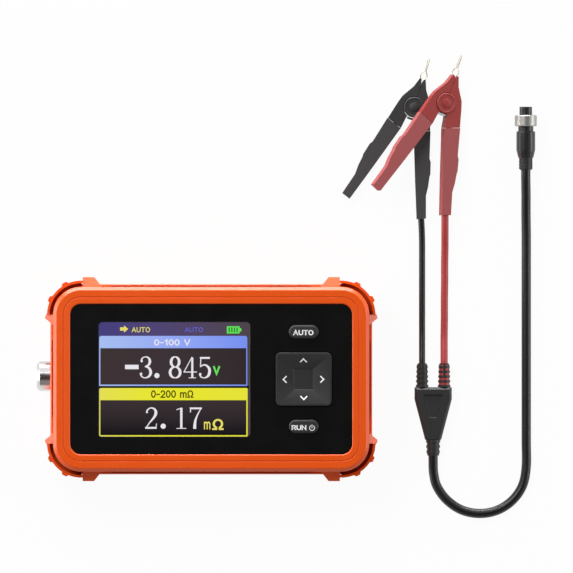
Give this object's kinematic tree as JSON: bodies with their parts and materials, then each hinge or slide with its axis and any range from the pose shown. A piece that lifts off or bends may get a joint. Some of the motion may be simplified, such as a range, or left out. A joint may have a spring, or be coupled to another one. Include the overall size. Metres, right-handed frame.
{
  "type": "battery internal resistance tester",
  "caption": "Hand-held battery tester in an orange cornered case with a colour screen, keys and pad, with a four-wire lead that ends in a red and a black probe clip.",
  "frame": {"origin": "middle of the case's rear face, on the surface that the tester lies on", "axes": "+X along the case's length, away from the socket; +Y up the face; +Z out of the face"},
  "size_m": [0.1904, 0.1766, 0.0282],
  "materials": {
    "orange_shell": "satin moulded plastic",
    "black_panel": "smooth semi-gloss black",
    "window_glass": "clear acrylic window",
    "module_tray": "stamped tray with dark display glass",
    "flex_film": "amber polyimide film",
    "key_plastic": "fine matt dark grey",
    "polished_metal": "polished nickel plate",
    "knurled_metal": "nickel plate with a fine knurl",
    "circuit_board": "green solder mask",
    "black_plastic": "black moulded plastic",
    "battery_foil": "satin foil",
    "foam": "fine foam",
    "nylon": "off-white nylon",
    "inner_wire": "thin insulated wire",
    "gold_pins": "gold-plated contact",
    "screw_steel": "blackened steel",
    "plug_black": "smooth black moulding",
    "soft_black": "soft matt moulding",
    "cable_black": "smooth cable jacket",
    "cable_red": "smooth wire jacket",
    "clip_black": "hard black moulding",
    "grip_black": "soft dark grey grip",
    "clip_red": "hard dark red moulding",
    "grip_red": "soft dusty red grip",
    "spring_steel": "bright leaf spring",
    "needle_metal": "pale gold-plated needle"
  },
  "bodies": {
    "root": {"front_frame": "orange_shell", "rear_shell": "orange_shell", "front_panel": "black_panel", "display_window": "window_glass", "display_module": "module_tray", "display_cable": "flex_film", "rocker_post": "black_plastic", "main_board": "circuit_board", "tact_switches": "black_plastic", "board_chips": "black_plastic", "battery": "battery_foil", "battery_pad": "foam", "battery_connector": "nylon", "battery_leads": "inner_wire", "charging_port": "polished_metal", "socket_shell": "polished_metal", "socket_nut": "polished_metal", "socket_washer": "polished_metal", "socket_insulator": "black_plastic", "socket_pins": "gold_pins", "socket_wires": "inner_wire", "case_screws": "screw_steel", "board_screws": "screw_steel", "plug_nose": "plug_black", "plug_insert": "black_plastic", "plug_contacts": "gold_pins", "plug_body": "plug_black", "plug_relief": "soft_black", "main_cable": "cable_black", "splitter": "soft_black", "splitter_relief": "soft_black", "black_relief": "soft_black", "red_relief": "soft_black", "black_wire": "cable_black", "red_wire": "cable_red", "black_jaw_fixed": "clip_black", "black_grip_fixed": "grip_black", "black_pivot_pin": "clip_black", "black_hub_cap": "clip_black", "black_spring": "spring_steel", "black_needle_fixed": "needle_metal", "red_jaw_fixed": "clip_red", "red_grip_fixed": "grip_red", "red_pivot_pin": "clip_red", "red_hub_cap": "clip_red", "red_spring": "spring_steel", "red_needle_fixed": "needle_metal"},
    "auto_key": {"auto_key": "key_plastic"},
    "run_key": {"run_key": "key_plastic"},
    "rocker": {"rocker_ball": "polished_metal"},
    "pad": {"direction_pad": "key_plastic"},
    "plug_ring": {"coupling_ring": "knurled_metal"},
    "black_lever": {"black_jaw_moving": "clip_black", "black_grip_moving": "grip_black", "black_needle_moving": "needle_metal"},
    "red_lever": {"red_jaw_moving": "clip_red", "red_grip_moving": "grip_red", "red_needle_moving": "needle_metal"}
  },
  "joints": [
    {"name": "auto_key_press", "type": "slide", "parent": "root", "child": "auto_key", "axis": [0, 0, -1], "range_m": [0, 0.0005], "stiffness_N_per_m": 3000},
    {"name": "run_key_press", "type": "slide", "parent": "root", "child": "run_key", "axis": [0, 0, -1], "range_m": [0, 0.0005], "stiffness_N_per_m": 3000},
    {"name": "pad_up_down", "type": "hinge", "parent": "root", "child": "rocker", "pos_m": [0.03515, 0, 0.0242], "axis": [1, 0, 0], "range_deg": [-2.5, 2.5], "stiffness_Nm_per_rad": 0.23},
    {"name": "pad_left_right", "type": "hinge", "parent": "rocker", "child": "pad", "pos_m": [0.03515, 0, 0.0242], "axis": [0, 1, 0], "range_deg": [-2.5, 2.5], "stiffness_Nm_per_rad": 0.23},
    {"name": "plug_ring_turn", "type": "hinge", "parent": "root", "child": "plug_ring", "pos_m": [0.1198, 0.098, 0.0043], "axis": [0, 1, 0], "continuous": true},
    {"name": "black_clip_squeeze", "type": "hinge", "parent": "root", "child": "black_lever", "pos_m": [0.0773, 0.1036, 0], "axis": [0, 0, 1], "range_deg": [0, 24], "stiffness_Nm_per_rad": 0.3},
    {"name": "red_clip_squeeze", "type": "hinge", "parent": "root", "child": "red_lever", "pos_m": [0.08833, 0.10507, 0.00217], "axis": [0.342, 0, 0.9397], "range_deg": [0, 24], "stiffness_Nm_per_rad": 0.3}
  ]
}
